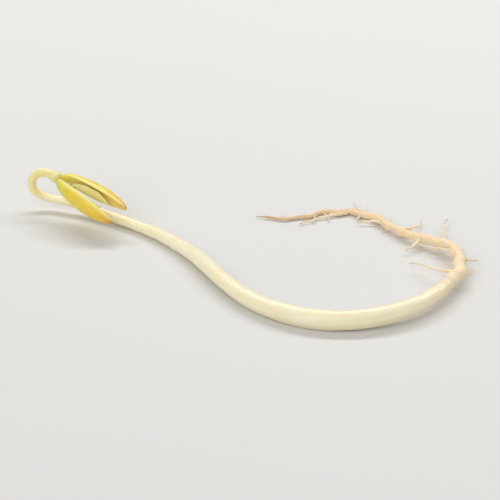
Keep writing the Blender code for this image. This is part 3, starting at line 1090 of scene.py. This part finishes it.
def root_material():
    """Fibrous root: cream at the collar, then a light tan, with darker tips."""
    m = Material("root_surface")
    flow = m.attribute("flow")
    part, rootlet, top = m.split(m.attribute("zone"))
    fibres = m.noise(flow, rates=(6.0, 6.0, 0.6), detail=4.0)
    patches = m.noise(flow, rates=(0.9, 0.9, 0.7), detail=3.0)
    main = m.ramp(part, ROOT_COLOURS)
    side = m.ramp(rootlet, ROOTLET_COLOURS)
    colour = m.mix(m.step(rootlet, 0.06, 0.35), main, side)
    colour = m.mix(m.step(patches, 0.50, 0.74) * 0.40, colour, ROOT_PATCH)
    colour = m.mix(m.step(fibres, 0.5, 0.75) * 0.5, colour, ROOT_FIBRE)
    colour = m.mix(top * 0.3, colour, ROOT_TOP)
    roughness = 0.36 + 0.25 * fibres
    moist = tissue(inner=0.35, reach=(1.0, 0.6, 0.3), scale=0.5, coat=0.12, coat_roughness=0.18)
    return m.finish(colour, roughness, m.bump(fibres, 0.05), moist)


def root_hair_material():
    """Whitish root hairs, a little darker towards their ends."""
    m = Material("root_hair_surface")
    part = m.split(m.attribute("zone"))[0]
    colour = m.ramp(part, HAIR_COLOURS)
    grain = m.noise(m.attribute("flow"), rates=(4.0, 4.0, 4.0), detail=2.0)
    return m.finish(colour, 0.45 + 0.2 * grain, m.bump(grain, 0.002), {"Coat Weight": 0.0})


def seed_leaf_material():
    """Yellow seed leaf: greenish at its base, golden along its middle, brown at its tip."""
    m = Material("seed_leaf_surface")
    flow = m.attribute("flow")
    part, rim_highlight, inside = m.split(m.attribute("zone"))
    streaks = m.noise(flow, rates=(2.4, 2.4, 0.35), detail=4.0)
    cloud = m.noise(flow, rates=(0.6, 0.6, 0.5), detail=3.0)
    specks = m.noise(flow, rates=(2.6, 2.6, 1.6), detail=2.0)
    fine = m.noise(flow, rates=(8.0, 8.0, 2.6), detail=4.0, roughness=0.6)
    colour = m.ramp(part, SEED_LEAF_COLOURS)
    colour = m.mix(m.step(streaks, 0.42, 0.70) * 0.45, colour, LEAF_STREAK)
    colour = m.mix(m.step(cloud, 0.50, 0.76) * 0.45, colour, AMBER_CLOUD)
    colour = m.mix(m.step(specks, 0.70, 0.80) * 0.45, colour, LEAF_SPECK)
    # Painted highlight along the rim
    colour = m.mix(rim_highlight * 0.7, colour, LEAF_RIM_HIGHLIGHT)
    # Painted light on the inner face, against the shade of its hollow
    colour = m.mix(inside * 0.55, colour, LEAF_INSIDE_LIGHT)
    roughness = 0.34 + 0.22 * fine
    normal = m.bump(streaks * 0.5 + fine * 0.5, 0.07)
    moist = tissue(inner=0.4, reach=(1.0, 0.65, 0.12), scale=0.8, coat=0.2, coat_roughness=0.15)
    return m.finish(colour, roughness, normal, moist)


def first_leaf_material():
    """Pale first leaf: cream at its base, light yellow-green towards its tip, with paler veins."""
    m = Material("first_leaf_surface")
    flow = m.attribute("flow")
    part, margin, vein = m.split(m.attribute("zone"))
    cloud = m.noise(flow, rates=(1.1, 1.1, 1.1), detail=3.0)
    fine = m.noise(flow, rates=(8.0, 8.0, 4.0), detail=4.0, roughness=0.6)
    colour = m.ramp(part, FIRST_LEAF_COLOURS)
    colour = m.mix(m.step(cloud, 0.45, 0.75) * 0.4, colour, PALE_CLOUD)
    colour = m.mix(vein * 0.6, colour, PALE_VEIN)
    colour = m.mix(m.step(margin, 0.88, 1.0) * 0.4, colour, PALE_MARGIN)
    roughness = 0.36 + 0.2 * fine
    moist = tissue(inner=0.45, reach=(1.0, 0.8, 0.3), scale=0.5, coat=0.1, coat_roughness=0.2)
    return m.finish(colour, roughness, m.bump(fine, 0.04), moist)


def floor_material():
    """Plain pale matt surface, with its noise at a rate per metre."""
    m = Material("floor_surface")
    place = m.node("ShaderNodeTexCoord")["Object"]
    cloud = m.noise(place, rates=(9.0, 9.0, 9.0), detail=2.0)
    colour = m.mix(cloud, *FLOOR_COLOURS)
    return m.finish(colour, 0.75, m.bump(cloud, 0.01), {"Specular IOR Level": 0.2})


def make_floor():
    """A wide flat floor at the height that the sprout lies on."""
    half = FLOOR_HALF
    mesh = bpy.data.meshes.new("floor")
    corners = [(-half, -half, 0), (half, -half, 0), (half, half, 0), (-half, half, 0)]
    mesh.from_pydata(corners, [], [(0, 1, 2, 3)])
    mesh.materials.append(floor_material())
    floor = new_object("floor", mesh)


def aim(thing, place, target):
    """Put an object at a place, with its -Z axis towards a target."""
    place, target = np.array(place, float), np.array(target, float)
    back = unit(place - target)
    side = unit(np.cross(UP, back))
    turn = np.eye(4)
    turn[:3] = np.stack((side, np.cross(back, side), back, place), axis=1)
    thing.matrix_world = Matrix(turn.tolist())


def make_light(name, kind, place, target, power, colour):
    """A light of one kind that shines from a place towards a target."""
    data = bpy.data.lights.new(name, kind)
    data.energy = power
    data.color = colour
    aim(new_object(name, data), place, target)
    return data


def make_lights():
    """A long soft key above and behind, an even fill from the front left, and a pale sky."""
    key = make_light("key", "AREA", *KEY)
    key.shape = "RECTANGLE"
    key.size, key.size_y = KEY_SIDES
    fill = make_light("fill", "SUN", *FILL)
    fill.angle = math.radians(FILL_SPREAD)
    world = bpy.data.worlds.new("sky")
    world.use_nodes = True
    background = world.node_tree.nodes["Background"]
    background.inputs["Color"].default_value = SKY_COLOUR
    background.inputs["Strength"].default_value = SKY_STRENGTH
    bpy.context.scene.world = world


def make_camera():
    """A long lens that looks down at the photograph's angle, along +Y."""
    elevation = math.radians(VIEW_ELEVATION)
    back = np.array((0.0, -math.cos(elevation), math.sin(elevation)))
    data = bpy.data.cameras.new("camera")
    data.sensor_width = SENSOR_WIDTH
    data.lens = data.sensor_width * VIEW_DISTANCE / VIEW_WIDTH
    data.clip_start = VIEW_NEAREST
    camera = new_object("camera", data)
    aim(camera, VIEW_TARGET + VIEW_DISTANCE * back, VIEW_TARGET)
    bpy.context.scene.camera = camera


make_camera()
make_lights()
make_floor()

stem = make_stem(stem_material())
taproot, hairs = make_taproot(root_material(), root_hair_material())
yellow = seed_leaf_material()
upper = make_seed_leaf("seed_leaf_upper_skin", yellow, side=1, seed=2, twist=9.0)
lower = make_seed_leaf("seed_leaf_lower_skin", yellow, side=-1, seed=7, twist=-7.0)
first = make_first_leaves(first_leaf_material())

for piece, node, slot in (
    (stem, "stem", "white_stem"),
    (taproot, "taproot", "tan_root"),
    (hairs, "taproot", "tan_root"),
    (upper, "seed_leaf_upper", "yellow_seed_leaf"),
    (lower, "seed_leaf_lower", "yellow_seed_leaf"),
    (first, "first_leaves", "pale_first_leaf"),
):
    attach(piece, "root")
    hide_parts(node)

bpy.context.scene.view_settings.view_transform = "Standard"
